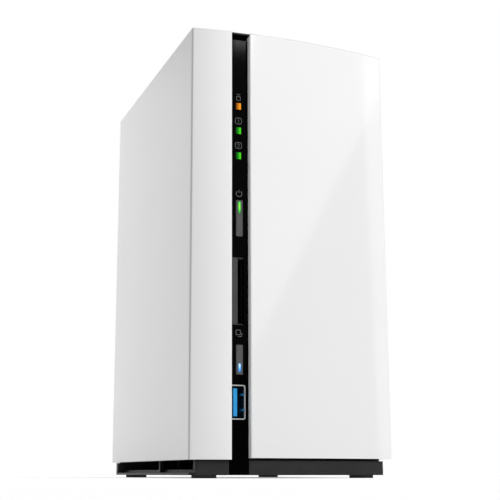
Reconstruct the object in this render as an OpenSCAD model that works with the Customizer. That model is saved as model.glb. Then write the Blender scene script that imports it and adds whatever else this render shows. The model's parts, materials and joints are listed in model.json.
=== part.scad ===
// Two-bay desktop network storage unit.
// Millimetres, +Z up, front towards -Y, origin on the resting surface under the middle of the case.
// Inside the modules, places are given in case coordinates: u from the left face, v from the
// frontmost point of the front, z from the resting surface.

/* [Case] */
// Width of the case
body_w = 90; // [90:0.5:94]
// Depth of the case, front bow included
body_d = 125; // [125:0.5:130]
// Height of the case, feet included
body_h = 187.7; // [187:0.1:192]
// How far the middle of the front stands ahead of its corners
front_bow = 3.75; // [2:0.05:4]
// Wall thickness of the two covers
wall = 2.2; // [2:0.1:2.4]
// Thickness of the bowed front parts
front_t = 2.5; // [2:0.1:2.5]

/* [Front groove] */
// Left edge of the groove, from the left face
groove_left = 17.3; // [17:0.1:17.5]
// Width of the groove
groove_w = 7.9; // [7.8:0.1:8]
// Depth of the groove in the front
groove_depth = 3.3; // [3.2:0.1:3.4]
// How far the strip lies below the top of the covers
top_groove = 0.3; // [0.2:0.1:0.5]

/* [Controls] */
// Travel of the power and copy buttons
button_travel = 0.8; // [0.5:0.1:0.8]
// How far the two buttons stand out of the strip
button_proud = 0.6; // [0.5:0.1:0.8]
// Middle of the power button, above the floor
power_z = 105.8; // [105:0.1:106]
// Middle of the copy button, above the floor
copy_z = 46.9; // [46:0.1:47]
// Middle of the card slot, above the floor
card_z = 75.25; // [75:0.05:75.5]
// Middle of the front USB port, above the floor
usb_z = 29.85; // [29.7:0.05:30]
// Travel of the reset button
reset_travel = 0.6; // [0.3:0.1:0.7]

/* [Base] */
// Height of the base's underside above the floor
foot_h = 1.2; // [1:0.1:1.5]
// Diameter of a rubber foot
foot_d = 10; // [8:0.5:11]
// Lower edge of the left cover
left_cover_z = 7.2; // [7:0.1:7.5]
// Lower edge of the right cover and the front panel
right_cover_z = 7.8; // [7.5:0.1:8]

/* [Drives] */
// Length of a drive, upright
drive_l = 147; // [147]
// Width of a drive, along the depth of the case
drive_w = 101.6; // [101.6]
// Thickness of a drive
drive_t = 26.1; // [26.1]
// Height of the drives' lower ends
drive_z = 26; // [25.8:0.1:26.2]
// Air gap between the two drives
drive_gap = 2.4; // [2:0.1:2.6]

/* [Fan] */
// Side of the square fan frame
fan_w = 50; // [50]
// Thickness of the fan
fan_t = 10; // [10]
// Height of the fan's axis
fan_z = 122; // [110:1:126]
// Number of blades
fan_blades = 7; // [5:1:9]

/* [Hidden] */

fine = 96;          // facets of a visible round
bow_fn = 720;       // facets of the bowed front
gap = 0.3;          // clearance between pieces that move apart
far = 400;          // larger than the case, for cutting shapes

// Case
bow_r = (body_w * body_w / 4 + front_bow * front_bow) / (2 * front_bow);
top_z = body_h;
top_under_z = body_h - wall;
groove_right = groove_left + groove_w;
lip_t = 1.5;        // thickness of the lips along the groove

// Strip
strip_t = 2;
strip_left = groove_left - 1.7;
strip_right = groove_right + 1.7;
strip_z = foot_h + 0.1;
strip_top_z = top_z - top_groove;
strip_flange_t = 1.2;
strip_flange_top = top_under_z - 0.5;   // the flanges run under the covers' tops
strip_cap_t = 0.9;  // front end of the top run, which bridges the groove
strip_cap_v = 0.5;
strip_mid = 21.2;   // line of the lights
light_z = [155.15, 144.25, 133.15];   // network, disk 1, disk 2
light_w = 2.3;
light_l = 2.9;
button_mid = 21.4;  // line of the two buttons
button_w = 2.7;
button_flange = 0.9;
switch_cap_v = [11.3, 13.6];
reset_u = 20.4;
reset_stem_v = 117;  // inner end of the reset button's stem
power_l = 15.4;
copy_l = 12;
light_insert_w = 1.3;
power_light = [power_z + 1.6, power_z + power_l / 2 - 0.5];
copy_light = [copy_z - copy_l / 2 + 1, copy_z - 1.6];
card_slot_w = 5.1;
card_slot_l = 28.3;
card_mid = 20.95;
card_gap = 2.4;      // slit that a 2.1 mm card slides in
reader_mid = 22.25;
reader_v = 7.4;      // front of the card reader
usb_mid = 20.9;
usb_l = 13.9;
usb_t = 6.4;
usb_wall = 0.5;

// Base
base_floor = 2.2;
base_z = foot_h;
base_skirt_top = left_cover_z - 0.3;
base_rim_top = 11;
inlet_v = [6.2, 117.6];
inlet_sill = 1;
foot_places = [[9.2, 11.75], [79.5, 11.75], [9.2, 112.75], [79.5, 112.75]];
backplane_posts = [for (u = [33, 75.5], v = [24, 96]) [u, v]];
cage_feet = [for (u = [37, 70], v = [12, 105.6]) [u, v]];

// Boards
board_t = 1.6;
board_u = 25.4;     // component face of the main board
board_back = board_u + board_t;
board_v = [7.6, 121];
board_z = [14, 164];
backplane_z = 15;
board_holes = [[14, 95], [14, 160], [104, 156], [104, 36]];   // along the depth, above the floor

// Cage
sheet = 1;
cage_u = 28.6;
cage_right = 86;
cage_v = 6.6;
cage_back = 111;
cage_z = [24, 178];

// Drives
drive_v = 8;
drive_1_u = 30;
drive_2_u = drive_1_u + drive_t + drive_gap;
drive_hole_z = [28.5, 130.1];   // side holes, from the connector end
drive_hole_u = 6.35;            // side holes, from the board side
plug_notch_l = 46;              // notch in the casting round the connector
plug_notch_h = 9;
socket_v = drive_v + 20;        // near end of the connector notch
spindle_w = drive_w / 2;
spindle_l = 88;
lid_holes = [[6, 6], [6, 74], [6, 141], [95.6, 6], [95.6, 74], [95.6, 141], [50.8, 143]];

// Rear
rear_in_v = 121.2;
rear_out_v = 123.2;
rear_z = right_cover_z;
fan_u = 57.3;
fan_v = rear_in_v - fan_t;
// Route of the fan's lead, from its frame through the main board's notch to the plug
fan_route = [
    [34, 115, 97], [33.9, 115, 95.4], [33.3, 115.3, 94], [32.2, 115.9, 93.2], [30.8, 116.5, 93.3],
    [29.4, 117, 94], [28, 117.3, 95], [26.2, 117.2, 96], [24.4, 116.7, 96.7], [22.7, 115.8, 97.1],
    [21.4, 114.4, 97.2], [20.6, 112.9, 97.2], [20.4, 111.2, 97.2]
];
lead_r = 0.75;
screw_left_u = 6.5;
screw_right_u = 83.5;
screw_low_z = 19;
screw_high_z = 181.5;
tab_v = 117;           // front face of the tabs that the rear screws hold

// Rear port column: middle heights
dc_z = 27;
rear_usb_z = 47;
lan_z = 70;
reset_z = 88;
port_u = board_u;
lan_h = 13.4;
lan_w = 16;
lan_l = 18.4;
rusb_h = 15.6;
rusb_w = 13.2;
rusb_l = 17;
usb_openings = [port_u - rusb_h + 3.4, port_u - 3.8];
dc_h = 11;
dc_w = 9.4;
dc_l = 13.8;
dc_axis_u = board_u - 5.8;

// ---------- helpers ----------

// Box between two corners in case coordinates
module block(u, v, z) {
    translate([u[0] - body_w / 2, v[0] - body_d / 2, z[0]])
        cube([u[1] - u[0], v[1] - v[0], z[1] - z[0]]);
}

// Rod along the width, the depth or the height
module rod_u(u, v, z, r, fn = fine) {
    translate([u[0] - body_w / 2, v - body_d / 2, z])
        rotate([0, 90, 0]) cylinder(h = u[1] - u[0], r = r, $fn = fn);
}

module rod_v(u, v, z, r, fn = fine) {
    translate([u - body_w / 2, v[0] - body_d / 2, z])
        rotate([-90, 0, 0]) cylinder(h = v[1] - v[0], r = r, $fn = fn);
}

module rod_z(u, v, z, r, fn = fine) {
    translate([u - body_w / 2, v - body_d / 2, z[0]])
        cylinder(h = z[1] - z[0], r = r, $fn = fn);
}

// Box with rounded edges along the depth
module soft_v(u, v, z, r) {
    block([u[0] + r, u[1] - r], v, z);
    block(u, v, [z[0] + r, z[1] - r]);
    for (a = [u[0] + r, u[1] - r], b = [z[0] + r, z[1] - r]) rod_v(a, v, b, r, 32);
}

// Everything behind the bowed front, set back by d
module behind_front(d, z) {
    translate([0, bow_r - body_d / 2, z[0]])
        cylinder(h = z[1] - z[0], r = bow_r - d, $fn = bow_fn);
}

// Slab that follows the bowed front, from depth d[0] to depth d[1]
module bowed(u, d, z) {
    intersection() {
        difference() {
            behind_front(d[0], z);
            behind_front(d[1], [z[0] - 1, z[1] + 1]);
        }
        block(u, [-1, 15], [z[0] - 1, z[1] + 1]);
    }
}

// Pan head screw along the depth, head outward at the rear, tip towards the front
module rear_screw(u, z, v_head, l, r) {
    difference() {
        union() {
            rod_v(u, [v_head, v_head + 1.6], z, r * 1.9, 48);
            rod_v(u, [v_head - l, v_head], z, r, 48);
        }
        for (a = [0, 90])
            translate([u - body_w / 2, v_head + 1.6 - body_d / 2, z]) rotate([0, a, 0])
                cube([r * 2.2, 1.6, 0.7], center = true);
    }
}

// Pan head screw pointing down
module down_screw(u, v, z_head, l, r) {
    difference() {
        union() {
            rod_z(u, v, [z_head, z_head + 1.4], r * 1.9, 48);
            rod_z(u, v, [z_head - l, z_head], r, 48);
        }
        for (a = [0, 90])
            translate([u - body_w / 2, v - body_d / 2, z_head + 1.4]) rotate([0, 0, a])
                cube([r * 2.2, 0.7, 1.4], center = true);
    }
}

// ---------- covers ----------

module left_cover() {
    z = [left_cover_z, top_z];
    tall = [z[0] - 1, z[1] + 1];
    color("white") difference() {
        union() {
            intersection() {
                union() {
                    block([0, wall], [0, body_d], z);
                    block([0, groove_left], [0, body_d], [top_under_z, top_z]);
                }
                behind_front(0, tall);
            }
            bowed([0, groove_left], [0, front_t], z);
            // lips along the groove
            bowed([groove_left - lip_t, groove_left], [0, groove_depth - 0.15], z);
            // ribs that stiffen the side wall
            for (v = [40, 80]) block([wall, wall + 1.2], [v, v + 1.5], [20, 170]);
            // tabs that the rear panel's screws go into
            for (h = [screw_low_z, screw_high_z])
                block([wall, 10.5], [tab_v, rear_in_v], [h - 4, h + 4]);
        }
        for (h = [screw_low_z, screw_high_z])
            rod_v(screw_left_u, [110, 130], h, 1.3, 48);
    }
}

module right_cover() {
    z = [right_cover_z, top_z];
    color("white") difference() {
        union() {
            block([body_w - wall, body_w], [9, body_d], z);
            block([groove_right, body_w], [9, body_d], [top_under_z, top_z]);
            // front ends that meet the back of the glossy panel
            intersection() {
                union() {
                    block([body_w - wall, body_w], [0, 10], z);
                    block([groove_right, body_w], [0, 10], [top_under_z, top_z]);
                }
                behind_front(front_t + 0.1, [0, far]);
            }
            // frame behind the panel's left edge
            bowed([groove_right + 2.2, groove_right + 3.6], [front_t + 0.1, front_t + 2.6], [9, top_under_z]);
            // ribs that stiffen the side wall
            for (h = [60, 110, 160]) block([body_w - wall - 1.2, body_w - wall], [12, 105], [h, h + 1.5]);
            // tabs that the cover's screws hold
            block([79.5, body_w - wall], [tab_v, rear_in_v - gap], [screw_low_z - 3.6, screw_low_z + 3.6]);
            block([79.5, body_w - wall], [tab_v, rear_in_v - gap], [screw_high_z - 2.9, top_under_z]);
        }
        for (h = [screw_low_z, screw_high_z])
            rod_v(screw_right_u, [110, 130], h, 1.6, 48);
        // room for the panel's lip
        bowed([groove_right - 1, groove_right + lip_t + 0.1], [-1, groove_depth - gap + 0.1],
              [z[0] - 1, z[1] + 1]);
    }
}

module front_panel() {
    z = [right_cover_z, top_z];
    color("white") {
        bowed([groove_right, body_w], [0, front_t], z);
        bowed([groove_right, groove_right + lip_t], [0, groove_depth - gap], z);
    }
}

module front_strip() {
    z = [strip_z, strip_top_z];
    slot_u = [card_mid - card_slot_w / 2, card_mid + card_slot_w / 2];
    color("black") difference() {
        union() {
            bowed([groove_left + 0.2, groove_right - 0.2], [groove_depth, groove_depth + strip_t], z);
            bowed([strip_left, strip_right], [groove_depth, groove_depth + strip_t],
                  [base_skirt_top + 1.5, top_under_z - 0.5]);
            bowed([groove_left + 0.2, groove_right - 0.2], [strip_cap_v, groove_depth + strip_t],
                  [strip_top_z - strip_cap_t, strip_top_z]);
            // the strip runs on over the top, in the groove between the covers
            intersection() {
                difference() {
                    union() {
                        block([groove_left + 0.2, groove_right - 0.2], [0, rear_out_v],
                              [strip_flange_top - strip_flange_t, strip_top_z]);
                        block([strip_left, strip_right], [0, rear_out_v],
                              [strip_flange_top - strip_flange_t, strip_flange_top]);
                    }
                    // cored out from below
                    block([groove_left + 2, groove_right - 2], [groove_depth + 2 * strip_t, far],
                          [0, strip_top_z - strip_t]);
                }
                behind_front(groove_depth, [0, far]);
            }
        }
        // card slot, USB opening, button and light openings
        block(slot_u, [-1, 12], [card_z - card_slot_l / 2, card_z + card_slot_l / 2]);
        soft_v([usb_mid - usb_t / 2 - 0.1, usb_mid + usb_t / 2 + 0.1], [-1, 12],
               [usb_z - usb_l / 2 - 0.1, usb_z + usb_l / 2 + 0.1], 1);
        button_hole(power_z, power_l);
        button_hole(copy_z, copy_l);
        for (h = light_z) light_block(h, 0.05, [-1, 12]);
    }
}

module light_block(h, grow, v) {
    block([strip_mid - light_w / 2 - grow, strip_mid + light_w / 2 + grow], v,
          [h - light_l / 2 - grow, h + light_l / 2 + grow]);
}

module button_hole(h, l) {
    block([button_mid - button_w / 2 - 0.15, button_mid + button_w / 2 + 0.15], [-1, 12],
          [h - l / 2 - 0.15, h + l / 2 + 0.15]);
}

// Light guide from a lamp on the board to the face of the strip
module light_guide(h) {
    intersection() {
        union() {
            light_block(h, 0, [0, 8.6]);
            light_block(h, 0.6, [7.1, 8.6]);
        }
        behind_front(groove_depth, [0, far]);
    }
    block([strip_mid, board_u], [7.1, 8.6], [h - 1, h + 1]);
}

module network_light() {
    color("orange") light_guide(light_z[0]);
}

module disk_lights() {
    color("limegreen") for (i = [1, 2]) light_guide(light_z[i]);
}

// ---------- buttons ----------

// A button's body, its flange behind the strip and its stem, with the slot for the light insert
module button(h, l, light) {
    u = [button_mid - button_w / 2, button_mid + button_w / 2];
    difference() {
        union() {
            intersection() {
                block(u, [0, 9], [h - l / 2, h + l / 2]);
                behind_front(groove_depth - button_proud, [0, far]);
            }
            block([u[0] - button_flange, u[1] + button_flange], [7, 8.2],
                  [h - l / 2 - button_flange, h + l / 2 + button_flange]);
            block([u[0] + 0.4, u[1] - 0.4], [8.2, switch_cap_v[0]], [h - 1.5, h + 1.5]);
        }
        block([button_mid - light_insert_w / 2, button_mid + light_insert_w / 2], [-1, 9.1], light);
    }
}

module button_light(light) {
    intersection() {
        block([button_mid - light_insert_w / 2, button_mid + light_insert_w / 2], [0, 9], light);
        behind_front(groove_depth - button_proud, [0, far]);
    }
}

module power_button() {
    color("dimgray") button(power_z, power_l, power_light);
}

module power_button_light() {
    color("lime") button_light(power_light);
}

module copy_button() {
    color("dimgray") button(copy_z, copy_l, copy_light);
}

module copy_button_light() {
    color("lightskyblue") button_light(copy_light);
}

// Round cap of a switch, which the button's stem presses
module switch_cap(h) {
    rod_v(button_mid, switch_cap_v, h, 0.9, 32);
}

module power_switch_cap() {
    color("ivory") switch_cap(power_z);
}

module copy_switch_cap() {
    color("ivory") switch_cap(copy_z);
}

// Switch housings on the board, hollow for their caps
module switch_bodies() {
    color("silver") {
        for (h = [power_z, copy_z]) difference() {
            block([button_mid - 2.6, board_u], [12.5, 17], [h - 3, h + 3]);
            rod_v(button_mid, [12, switch_cap_v[1] + button_travel + 0.6], h, 1, 32);
        }
        difference() {
            block([reset_u - 2.6, board_u], [113.6, 117.6], [reset_z - 3, reset_z + 3]);
            rod_v(reset_u, [reset_stem_v - reset_travel - 0.2, 118], reset_z, 1.2, 32);
        }
    }
}

module reset_button() {
    color("dimgray") {
        rod_v(reset_u, [119, rear_out_v - 0.6], reset_z, 1.2, 48);
        rod_v(reset_u, [119, 120.4], reset_z, 2.1, 48);
        rod_v(reset_u, [reset_stem_v, 119], reset_z, 0.9, 32);
    }
}

// ---------- front ports ----------

// Frame in the strip's slot: it leaves the card's own slit free beside its wide bar
module card_slot_frame() {
    u = [card_mid - card_slot_w / 2 + 0.05, card_mid + card_slot_w / 2 - 0.05];
    z = [card_z - card_slot_l / 2 + 0.05, card_z + card_slot_l / 2 - 0.05];
    color("dimgray") difference() {
        block(u, [4.9, reader_v], z);
        block([reader_mid - card_gap / 2, u[1] + 1], [3, 9], [z[0] + 0.5, z[1] - 0.5]);
    }
}

module card_reader_shell() {
    u = [reader_mid - card_gap / 2 - 0.3, reader_mid + card_gap / 2 + 0.3];
    z = [card_z - 14, card_z + 14];
    color("silver") difference() {
        block(u, [reader_v, 34], z);
        block([u[0] + 0.3, u[1] - 0.3], [7, 33], [z[0] + 0.3, z[1] - 0.3]);
        // windows in the metal over the card's springs
        for (s = [-1, 1])
            block([u[0] - 1, u[0] + 0.2], [12, 20], [card_z + s * 8 - 1.2, card_z + s * 8 + 1.2]);
    }
}

module card_reader_base() {
    u = reader_mid + card_gap / 2 + 0.3;
    color("black") {
        block([u, board_u], [8.4, 33], [card_z - 13, card_z + 13]);
        // contact block at the inner end of the card's space
        block([reader_mid - 1.1, reader_mid + 1.1], [29, 33], [card_z - 13, card_z + 13]);
    }
}

module front_usb_shell() {
    u = [usb_mid - usb_t / 2, usb_mid + usb_t / 2];
    z = [usb_z - usb_l / 2, usb_z + usb_l / 2];
    color("silver") {
        difference() {
            soft_v(u, [4.2, 21], z, 0.9);
            soft_v([u[0] + usb_wall, u[1] - usb_wall], [3, 20.5],
                   [z[0] + usb_wall, z[1] - usb_wall], 0.5);
        }
        // feet to the board
        for (v = [9.5, 17]) block([u[1], board_u], [v, v + 1.5], [z[0] + 1, z[0] + 2]);
        for (v = [9.5, 17]) block([u[1], board_u], [v, v + 1.5], [z[1] - 2, z[1] - 1]);
    }
}

module front_usb_tongue() {
    color("dodgerblue") {
        block([usb_mid - 1.7, usb_mid], [5.2, 19], [usb_z - 5.6, usb_z + 5.6]);
        block([usb_mid - 2.6, usb_mid + 2.6], [18.4, 20.4], [usb_z - 6.3, usb_z + 6.3]);
    }
}

// ---------- base ----------

module base_plan(z, left, right, front, back) {
    intersection() {
        block([left, right], [0, back], z);
        behind_front(front, [z[0] - 1, z[1] + 1]);
    }
}

module base_tray() {
    back = 120.3;
    inner_top = base_rim_top + 1;
    color("dimgray") difference() {
        union() {
            difference() {
                union() {
                    base_plan([base_z, base_skirt_top], 1, 87, groove_depth + strip_t + 0.1, back);
                    base_plan([base_z, base_rim_top], 2.6, 87, 6.2, back);
                }
                base_plan([base_z + base_floor, inner_top], 4.2, 85, 7.8, back - 2);
            }
            // front skirt, either side of the strip
            base_plan([base_z, base_skirt_top], 1, strip_left + 1.5, 3, 9);
            base_plan([base_z, base_skirt_top], strip_right - 1.5, 87, 3, 9);
            // posts for the backplane board
            for (p = backplane_posts) rod_z(p[0], p[1], [base_z + 1, backplane_z], 3, 48);
            // posts for the cage
            for (p = cage_feet) rod_z(p[0], p[1], [base_z + 1, 9], 3.6, 48);
            // support under the main board
            for (v = [30, 90]) block([board_u - 1.2, board_back + 1.2], [v, v + 4], [base_z + 1, 13.9]);
        }
        // pilot holes
        for (p = backplane_posts) rod_z(p[0], p[1], [8, 20], 1.05, 32);
        for (p = cage_feet) rod_z(p[0], p[1], [4, 20], 1.25, 32);
        // air inlet along the left side, with the rib that divides it
        difference() {
            block([-1, 4.4], inlet_v, [base_z + inlet_sill, base_skirt_top + 0.2]);
            block([2.6, 4.4], [50.4, 51.9], [base_z, base_skirt_top + 0.2]);
        }
        // air inlets in the floor
        for (i = [0:8])
            block([40, 74], [30 + i * 7.4, 33.4 + i * 7.4], [base_z - 1, base_z + base_floor + 1]);
        // notches in the rim for the cage's front legs
        for (p = cage_feet) block([p[0] - 5.3, p[0] + 5.3], [5, 10], [8.8, inner_top]);
        // pockets for the feet
        for (p = foot_places) rod_z(p[0], p[1], [base_z - 1, base_z + 1], foot_d / 2 + 0.05);
    }
}

module rubber_feet() {
    color("black") for (p = foot_places)
        rod_z(p[0], p[1], [0, base_z + 1], foot_d / 2);
}

// ---------- rear ----------

module rear_panel() {
    v = [rear_in_v, rear_out_v];
    cut = [v[0] - 3, v[1] + 3];
    color("dimgray") difference() {
        union() {
            block([wall + gap, body_w - wall - gap], v, [rear_z, top_under_z - gap]);
            // rim that stands in over the base
            block([12, 78], [v[0] - 2, v[0]], [rear_z + 3.5, rear_z + 5]);
        }
        block([strip_left - 0.3, strip_right + 0.3], cut, [strip_flange_top - strip_flange_t - gap, far]);
        // fan grille: slots within a circle
        intersection() {
            rod_v(fan_u, cut, fan_z, 22.5);
            union() for (i = [-5:5])
                block([fan_u - 24, fan_u + 24], cut, [fan_z + i * 4.2 - 1.4, fan_z + i * 4.2 + 1.4]);
        }
        // ports
        block([port_u - lan_h - 0.3, port_u + 0.3], cut, [lan_z - lan_w / 2 - 0.2, lan_z + lan_w / 2 + 0.2]);
        block([port_u - rusb_h - 0.3, port_u + 0.3], cut,
              [rear_usb_z - rusb_w / 2 - 0.2, rear_usb_z + rusb_w / 2 + 0.2]);
        rod_v(dc_axis_u, cut, dc_z, 4.3);
        rod_v(reset_u, cut, reset_z, 1.5, 48);
        // lock slot
        soft_v([72, 79], cut, [26, 29.2], 0.8);
        // low vents
        for (i = [0:6]) soft_v([36 + i * 5, 38.4 + i * 5], cut, [40, 62], 1.1);
        // screws
        for (h = [screw_low_z, screw_high_z]) {
            rod_v(screw_left_u, cut, h, 1.8, 48);
            rod_v(screw_right_u, cut, h, 1.8, 48);
        }
        for (a = [-20, 20], b = [-20, 20]) rod_v(fan_u + a, cut, fan_z + b, 2.2, 48);
    }
}

module cover_screws() {
    color("silver") for (h = [screw_low_z, screw_high_z])
        rear_screw(screw_right_u, h, rear_out_v, 7, 1.5);
}

module rear_panel_screws() {
    color("black") for (h = [screw_low_z, screw_high_z])
        rear_screw(screw_left_u, h, rear_out_v, 7, 1.25);
}

// ---------- fan ----------

module fan_frame() {
    v = [fan_v, rear_in_v];
    half = fan_w / 2;
    color("black") {
        difference() {
            soft_v([fan_u - half, fan_u + half], v, [fan_z - half, fan_z + half], 3);
            rod_v(fan_u, [v[0] - 1, v[1] + 1], fan_z, 24);
            for (a = [-20, 20], b = [-20, 20]) rod_v(fan_u + a, [v[0] - 1, v[1] + 1], fan_z + b, 2.15, 48);
        }
        // struts and the disc that carries the motor
        difference() {
            union() {
                rod_v(fan_u, [v[1] - 1.2, v[1] - 0.2], fan_z, 12.4);
                for (a = [45:90:315])
                    translate([fan_u - body_w / 2, v[1] - 1.2 - body_d / 2, fan_z]) rotate([0, a, 0])
                        translate([11, 0, -1.1]) cube([13.4, 1, 2.2]);
            }
            rod_v(fan_u, [v[1] - 2, v[1] + 1], fan_z, 2.45, 48);
        }
    }
}

module fan_stator() {
    v = rear_in_v - 0.2;
    color("chocolate") difference() {
        union() {
            rod_v(fan_u, [fan_v + 2.6, v], fan_z, 2.4, 48);
            // pole pieces with their windings
            for (a = [0:90:270])
                translate([fan_u - body_w / 2, fan_v + 3.6 - body_d / 2, fan_z]) rotate([0, a, 0])
                    translate([1, 0, -2]) cube([7.6, 3.4, 4]);
            // motor's board
            rod_v(fan_u, [v - 1.9, v - 1.05], fan_z, 9.5, 48);
        }
        rod_v(fan_u, [fan_v, v - 1], fan_z, 1.04, 48);
    }
}

module fan_impeller() {
    hub_r = 11.2;
    tip_r = 23.2;
    v = [fan_v + 0.8, rear_in_v - 2.6];
    color("black") {
        difference() {
            rod_v(fan_u, v, fan_z, hub_r);
            rod_v(fan_u, [v[0] + 1.2, v[1] + 1], fan_z, hub_r - 1);
        }
        // shaft, in the stator's bearing
        rod_v(fan_u, [v[0] + 1, v[0] + 7.2], fan_z, 1, 48);
        // tilted blades
        intersection() {
            difference() {
                rod_v(fan_u, v, fan_z, tip_r);
                rod_v(fan_u, [v[0] - 1, v[1] + 1], fan_z, hub_r - 0.4);
            }
            union() for (i = [0:fan_blades - 1])
                translate([fan_u - body_w / 2, (v[0] + v[1]) / 2 - body_d / 2, fan_z])
                    rotate([0, i * 360 / fan_blades, 0]) rotate([38, 0, 0])
                        translate([hub_r - 2, -9, -0.55]) cube([tip_r, 18, 1.1]);
        }
    }
}

module fan_screws() {
    color("black") for (a = [-20, 20], b = [-20, 20])
        rear_screw(fan_u + a, fan_z + b, rear_out_v, 8, 1.9);
}

module fan_lead() {
    color("black") tube(fan_route, lead_r, 8);
}

// Tube swept along points, as one closed polyhedron
function unit(a) = a / norm(a);
function heading(p, i) = unit(p[min(i + 1, len(p) - 1)] - p[max(i - 1, 0)]);
function side(p, i) = unit(cross(heading(p, i), [0.3, 0.2, 1]));
function ring_point(p, i, a, r) =
    p[i] + r * (cos(a) * side(p, i) + sin(a) * cross(side(p, i), heading(p, i)));

module tube(p, r, sides) {
    n = len(p);
    points = [for (i = [0:n - 1], k = [0:sides - 1]) ring_point(p, i, k * 360 / sides, r)];
    skin = [for (i = [0:n - 2], k = [0:sides - 1], half = [0, 1])
        let (a = i * sides + k, b = i * sides + (k + 1) % sides)
            half == 0 ? [a, b, b + sides] : [a, b + sides, a + sides]];
    translate([-body_w / 2, -body_d / 2, 0])
        polyhedron(points, concat(skin,
            [[for (k = [sides - 1:-1:0]) k]], [[for (k = [0:sides - 1]) (n - 1) * sides + k]]));
}

module fan_plug() {
    color("white") {
        block([17.6, 23.2], [106.2, 111.2], [95, 99.4]);
        block([17.2, board_u], [103.2, 106.2], [94.2, 100.2]);
    }
}

// ---------- cage ----------

module drive_cage() {
    color("lightgray") difference() {
        union() {
            block([cage_u, cage_u + sheet], [cage_v, cage_back], cage_z);
            block([cage_u, cage_right], [cage_v, cage_v + sheet], cage_z);
            block([cage_u, cage_right], [cage_back - sheet, cage_back], cage_z);
            // legs and feet
            for (u = [32, 65]) {
                block([u, u + 10], [cage_v, cage_v + sheet], [9, 25]);
                block([u, u + 10], [cage_v, 17], [9, 9 + sheet]);
                block([u, u + 10], [cage_back - sheet, cage_back], [9, 25]);
                block([u, u + 10], [100.6, cage_back], [9, 9 + sheet]);
            }
            // standoffs of the main board
            for (p = board_holes) rod_u([board_back, cage_u + 0.5], p[0], p[1], 2.8, 48);
        }
        for (p = board_holes) rod_u([board_back - 1, cage_u + 2], p[0], p[1], 1.3, 48);
        // air opening for the fan, drive screws, feet screws
        rod_v(fan_u, [cage_back - 2, cage_back + 1], fan_z, 22);
        for (u = [drive_1_u, drive_2_u], h = drive_hole_z)
            rod_v(u + drive_hole_u, [0, 125], drive_z + h, 1.9, 48);
        for (p = cage_feet) rod_z(p[0], p[1], [8, 12], 1.8, 48);
        // air slots in the front plate and the side plate
        for (i = [0:4]) block([38 + i * 9, 41 + i * 9], [cage_v - 1, cage_v + 1.5], [70, 140]);
        for (i = [0:3]) block([cage_u - 1, cage_u + 1.2], [34 + i * 16, 44 + i * 16], [60, 130]);
    }
}

module cage_screws() {
    color("silver") for (p = cage_feet) down_screw(p[0], p[1], 9 + sheet, 5, 1.2);
}

// ---------- drives ----------

// Box in one drive's own places: t from the board side, w from the front side, l from the lower end
module drive_block(u0, t, w, l) {
    block([u0 + t[0], u0 + t[1]], [drive_v + w[0], drive_v + w[1]], [drive_z + l[0], drive_z + l[1]]);
}

module drive_casting(u0) {
    difference() {
        drive_block(u0, [0, drive_t - 0.9], [0, drive_w], [0, drive_l]);
        // recess for the board
        drive_block(u0, [-1, 4], [3, drive_w - 3], [-1, 72]);
        drive_block(u0, [-1, 1.6], [16, drive_w - 16], [70, 130]);
        // notch round the connector
        drive_block(u0, [-1, 9.6], [socket_v - drive_v, socket_v - drive_v + plug_notch_l],
                    [-1, plug_notch_h]);
        // sealed chamber: round space for the discs, square one for the arm
        rod_u([u0 + 7, u0 + drive_t], drive_v + spindle_w, drive_z + spindle_l + 6, 47.9);
        drive_block(u0, [12, drive_t], [12, drive_w - 12], [10, 60]);
        // screw holes in the sides
        for (h = drive_hole_z)
            rod_v(u0 + drive_hole_u, [drive_v - 1, drive_v + 5], drive_z + h, 1.45, 48);
        for (h = drive_hole_z)
            rod_v(u0 + drive_hole_u, [drive_v + drive_w - 5, drive_v + drive_w + 1], drive_z + h, 1.45, 48);
        // screw holes for the lid
        for (p = lid_holes)
            rod_u([u0 + drive_t - 5, u0 + drive_t], drive_v + p[0], drive_z + p[1], 0.95, 32);
    }
}

module drive_lid(u0) {
    t = [drive_t - 0.9, drive_t];
    difference() {
        drive_block(u0, t, [2, drive_w - 2], [2, drive_l - 2]);
        for (p = lid_holes)
            rod_u([u0 + t[0] - 1, u0 + t[1] + 1], drive_v + p[0], drive_z + p[1], 1.2, 32);
        // pressed ring over the discs
        difference() {
            rod_u([u0 + t[1] - 0.3, u0 + t[1] + 1], drive_v + spindle_w, drive_z + spindle_l + 6, 44);
            rod_u([u0 + t[1] - 1, u0 + t[1] + 2], drive_v + spindle_w, drive_z + spindle_l + 6, 42.6);
        }
    }
}

module drive_board(u0) {
    difference() {
        drive_block(u0, [0.8, 2], [4, drive_w - 4], [plug_notch_h + 0.1, 70]);
        drive_block(u0, [0, 3], [60, drive_w], [54, 80]);
    }
    // chips, facing the casting
    drive_block(u0, [2, 3.2], [20, 34], [36, 50]);
    drive_block(u0, [2, 3], [44, 52], [40, 50]);
    drive_block(u0, [2, 3.1], [66, 76], [34, 44]);
}

module drive_connector(u0) {
    w = [socket_v - drive_v + 2, socket_v - drive_v + plug_notch_l - 2];
    drive_block(u0, [2.1, 9], w, [5.4, plug_notch_h - 0.1]);
    // tongue that the socket takes
    drive_block(u0, [5, 6.2], [w[0] + 4, w[1] - 4], [1, 5.4]);
    // end walls
    drive_block(u0, [2.6, 8.6], [w[0], w[0] + 2], [1, 5.4]);
    drive_block(u0, [2.6, 8.6], [w[1] - 2, w[1]], [1, 5.4]);
    // pins to the board
    drive_block(u0, [0.8, 2.1], [w[0] + 4, w[1] - 4], [plug_notch_h - 2, plug_notch_h + 0.1]);
}

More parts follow.
